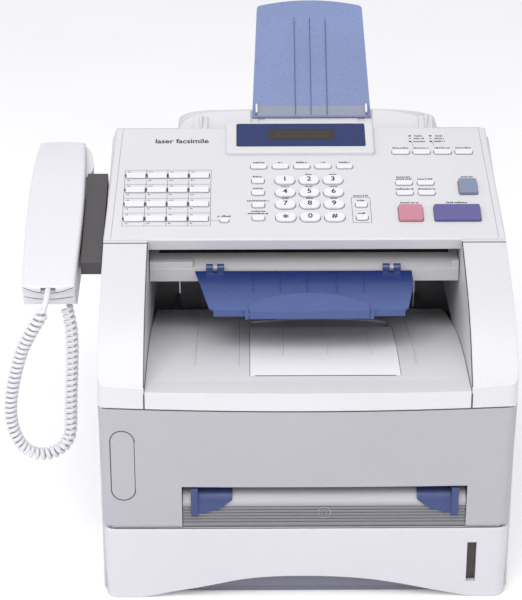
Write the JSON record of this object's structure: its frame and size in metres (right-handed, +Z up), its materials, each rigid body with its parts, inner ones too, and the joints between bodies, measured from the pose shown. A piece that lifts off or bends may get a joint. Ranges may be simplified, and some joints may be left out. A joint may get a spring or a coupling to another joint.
{
  "type": "fax machine",
  "caption": "Desktop laser fax machine with a sloped control panel, corded handset on its left, a pull-out paper cassette and a top document feeder.",
  "frame": {"origin": "under the middle of the machine's outer box, on the desk", "axes": "+Z up, the front faces -Y, +X to the right seen from the front"},
  "size_m": [0.4485, 0.4144, 0.4337],
  "materials": {
    "casing": "fine textured off-white plastic",
    "casing_top": "fine textured off-white plastic",
    "rubber": "matt",
    "guide_blue": "satin blue",
    "support_blue": "translucent light blue",
    "tray_navy": "satin navy",
    "bracket_grey": "dark grey",
    "key_white": "satin off-white",
    "key_pink": "satin rose",
    "key_violet": "satin violet-blue",
    "key_greyblue": "satin grey-blue",
    "lens_navy": "printed clear lens",
    "handset_white": "fine textured off-white plastic",
    "cord_white": "satin off-white",
    "inner_black": "matt black",
    "inner_grey": "matt grey",
    "steel": "brushed",
    "roller_rubber": "matt",
    "drum_green": "glossy coated drum",
    "circuit_green": "soldermask"
  },
  "bodies": {
    "root": {"base_casing": "casing", "rubber_feet": "rubber", "left_side_cover": "casing_top", "right_side_cover": "casing_top", "output_tray_cover": "casing_top", "rear_housing": "casing", "document_tray": "casing_top", "scanner_frame": "casing_top", "image_sensor": "inner_black", "drum_unit": "inner_black", "toner_cartridge": "inner_black", "laser_unit": "inner_grey", "fuser_frame": "inner_grey", "power_supply": "circuit_green", "main_board": "circuit_green", "main_motor": "steel", "handset_cradle": "handset_white", "handset_bracket": "bracket_grey", "handset_cord": "cord_white"},
    "cassette": {"paper_cassette": "casing"},
    "lift_plate": {"lift_plate": "steel"},
    "front_cover": {"front_cover": "casing", "cover_plate": "casing", "manual_feed_table": "casing_top"},
    "feed_guide_left": {"feed_guide_left": "guide_blue"},
    "feed_guide_right": {"feed_guide_right": "guide_blue"},
    "rear_door": {"rear_door": "casing"},
    "output_flap": {"output_flap": "casing_top"},
    "document_support": {"document_support": "support_blue"},
    "document_guide_left": {"document_guide_left": "casing_top"},
    "document_guide_right": {"document_guide_right": "casing_top"},
    "document_feed_roller": {"document_feed_roller": "roller_rubber"},
    "exit_tray": {"exit_tray": "tray_navy"},
    "exit_tray_extension": {"exit_tray_extension": "tray_navy"},
    "console": {"console": "casing_top", "display_lens": "lens_navy", "panel_board": "circuit_green"},
    "handset": {"handset": "handset_white"},
    "hook_switch": {"hook_switch": "inner_grey"},
    "drum_roller": {"drum_roller": "drum_green"},
    "heat_roller": {"heat_roller": "steel"},
    "pressure_roller": {"pressure_roller": "roller_rubber"},
    "pickup_roller": {"pickup_roller": "roller_rubber"},
    "stop_key": {"stop_key": "key_pink"},
    "start_key": {"start_key": "key_violet"},
    "copy_key": {"copy_key": "key_greyblue"},
    "one_touch_keys": {"one_touch_keys": "key_white"},
    "function_keys": {"function_keys": "key_white"},
    "key_1": {"key_1": "key_white"},
    "key_2": {"key_2": "key_white"},
    "key_3": {"key_3": "key_white"},
    "key_4": {"key_4": "key_white"},
    "key_5": {"key_5": "key_white"},
    "key_6": {"key_6": "key_white"},
    "key_7": {"key_7": "key_white"},
    "key_8": {"key_8": "key_white"},
    "key_9": {"key_9": "key_white"},
    "key_star": {"key_star": "key_white"},
    "key_0": {"key_0": "key_white"},
    "key_hash": {"key_hash": "key_white"}
  },
  "joints": [
    {"name": "cassette_slide", "type": "slide", "parent": "root", "child": "cassette", "axis": [0, -1, 0], "range_m": [0, 0.25]},
    {"name": "lift_plate_hinge", "type": "hinge", "parent": "cassette", "child": "lift_plate", "pos_m": [0.03503, 0.00333, 0.014], "axis": [-1, 0, 0], "range_deg": [0, 14]},
    {"name": "front_cover_hinge", "type": "hinge", "parent": "root", "child": "front_cover", "pos_m": [0.03503, -0.19527, 0.074], "axis": [1, 0, 0], "range_deg": [0, 80]},
    {"name": "feed_guide_left_slide", "type": "slide", "parent": "front_cover", "child": "feed_guide_left", "axis": [1, 0, 0], "range_m": [0, 0.07]},
    {"name": "feed_guide_right_slide", "type": "slide", "parent": "front_cover", "child": "feed_guide_right", "axis": [1, 0, 0], "range_m": [-0.07, 0]},
    {"name": "rear_door_hinge", "type": "hinge", "parent": "root", "child": "rear_door", "pos_m": [0.03503, 0.16483, 0.0895], "axis": [-1, 0, 0], "range_deg": [0, 80]},
    {"name": "output_flap_hinge", "type": "hinge", "parent": "root", "child": "output_flap", "pos_m": [0.03503, -0.17047, 0.2049], "axis": [1, 0, 0], "range_deg": [0, 20]},
    {"name": "document_support_slide", "type": "slide", "parent": "root", "child": "document_support", "axis": [0, 0.757, 0.6534], "range_m": [0, 0.05]},
    {"name": "document_guide_left_slide", "type": "slide", "parent": "root", "child": "document_guide_left", "axis": [1, 0, 0], "range_m": [0, 0.034]},
    {"name": "document_guide_right_slide", "type": "slide", "parent": "root", "child": "document_guide_right", "axis": [1, 0, 0], "range_m": [-0.034, 0]},
    {"name": "document_feed_roller_spin", "type": "hinge", "parent": "root", "child": "document_feed_roller", "pos_m": [0.03503, 0.04353, 0.2952], "axis": [1, 0, 0], "continuous": true},
    {"name": "exit_tray_hinge", "type": "hinge", "parent": "root", "child": "exit_tray", "pos_m": [0.03503, -0.07267, 0.2656], "axis": [-1, 0, 0], "range_deg": [0, 50]},
    {"name": "exit_tray_extension_hinge", "type": "hinge", "parent": "exit_tray", "child": "exit_tray_extension", "pos_m": [0.03803, -0.13068, 0.24409], "axis": [1, 0, 0], "range_deg": [0, 165]},
    {"name": "console_hinge", "type": "hinge", "parent": "root", "child": "console", "pos_m": [0.03503, 0.08033, 0.34], "axis": [-1, 0, 0], "range_deg": [0, 45]},
    {"name": "handset_lift", "type": "slide", "parent": "root", "child": "handset", "axis": [0, -0.3284, 0.9445], "range_m": [0, 0.06]},
    {"name": "hook_switch_slide", "type": "slide", "parent": "root", "child": "hook_switch", "axis": [0, -0.3284, 0.9445], "range_m": [0, 0.003]},
    {"name": "drum_roller_spin", "type": "hinge", "parent": "root", "child": "drum_roller", "pos_m": [0.03503, -0.06667, 0.106], "axis": [1, 0, 0], "continuous": true},
    {"name": "heat_roller_spin", "type": "hinge", "parent": "root", "child": "heat_roller", "pos_m": [0.03503, 0.12333, 0.124], "axis": [1, 0, 0], "continuous": true},
    {"name": "pressure_roller_spin", "type": "hinge", "parent": "root", "child": "pressure_roller", "pos_m": [0.03503, 0.09893, 0.124], "axis": [1, 0, 0], "continuous": true},
    {"name": "pickup_roller_spin", "type": "hinge", "parent": "root", "child": "pickup_roller", "pos_m": [0.03503, -0.14667, 0.0792], "axis": [1, 0, 0], "continuous": true},
    {"name": "stop_key_press", "type": "slide", "parent": "console", "child": "stop_key", "axis": [0, 0.3284, -0.9445], "range_m": [0, 0.0015], "stiffness_N_per_m": 200},
    {"name": "start_key_press", "type": "slide", "parent": "console", "child": "start_key", "axis": [0, 0.3284, -0.9445], "range_m": [0, 0.0015], "stiffness_N_per_m": 200},
    {"name": "copy_key_press", "type": "slide", "parent": "console", "child": "copy_key", "axis": [0, 0.3284, -0.9445], "range_m": [0, 0.0015], "stiffness_N_per_m": 200},
    {"name": "one_touch_keys_press", "type": "slide", "parent": "console", "child": "one_touch_keys", "axis": [0, 0.3284, -0.9445], "range_m": [0, 0.0012], "stiffness_N_per_m": 800},
    {"name": "function_keys_press", "type": "slide", "parent": "console", "child": "function_keys", "axis": [0, 0.3284, -0.9445], "range_m": [0, 0.0012], "stiffness_N_per_m": 800},
    {"name": "key_1_press", "type": "slide", "parent": "console", "child": "key_1", "axis": [0, 0.3284, -0.9445], "range_m": [0, 0.0012], "stiffness_N_per_m": 120},
    {"name": "key_2_press", "type": "slide", "parent": "console", "child": "key_2", "axis": [0, 0.3284, -0.9445], "range_m": [0, 0.0012], "stiffness_N_per_m": 120},
    {"name": "key_3_press", "type": "slide", "parent": "console", "child": "key_3", "axis": [0, 0.3284, -0.9445], "range_m": [0, 0.0012], "stiffness_N_per_m": 120},
    {"name": "key_4_press", "type": "slide", "parent": "console", "child": "key_4", "axis": [0, 0.3284, -0.9445], "range_m": [0, 0.0012], "stiffness_N_per_m": 120},
    {"name": "key_5_press", "type": "slide", "parent": "console", "child": "key_5", "axis": [0, 0.3284, -0.9445], "range_m": [0, 0.0012], "stiffness_N_per_m": 120},
    {"name": "key_6_press", "type": "slide", "parent": "console", "child": "key_6", "axis": [0, 0.3284, -0.9445], "range_m": [0, 0.0012], "stiffness_N_per_m": 120},
    {"name": "key_7_press", "type": "slide", "parent": "console", "child": "key_7", "axis": [0, 0.3284, -0.9445], "range_m": [0, 0.0012], "stiffness_N_per_m": 120},
    {"name": "key_8_press", "type": "slide", "parent": "console", "child": "key_8", "axis": [0, 0.3284, -0.9445], "range_m": [0, 0.0012], "stiffness_N_per_m": 120},
    {"name": "key_9_press", "type": "slide", "parent": "console", "child": "key_9", "axis": [0, 0.3284, -0.9445], "range_m": [0, 0.0012], "stiffness_N_per_m": 120},
    {"name": "key_star_press", "type": "slide", "parent": "console", "child": "key_star", "axis": [0, 0.3284, -0.9445], "range_m": [0, 0.0012], "stiffness_N_per_m": 120},
    {"name": "key_0_press", "type": "slide", "parent": "console", "child": "key_0", "axis": [0, 0.3284, -0.9445], "range_m": [0, 0.0012], "stiffness_N_per_m": 120},
    {"name": "key_hash_press", "type": "slide", "parent": "console", "child": "key_hash", "axis": [0, 0.3284, -0.9445], "range_m": [0, 0.0012], "stiffness_N_per_m": 120}
  ],
  "couplings": [
    {"joint": "feed_guide_right_slide", "follows": "feed_guide_left_slide", "ratio": -1},
    {"joint": "document_guide_right_slide", "follows": "document_guide_left_slide", "ratio": -1},
    {"joint": "hook_switch_slide", "follows": "handset_lift", "ratio": 0.05},
    {"joint": "pressure_roller_spin", "follows": "heat_roller_spin", "ratio": -1}
  ]
}
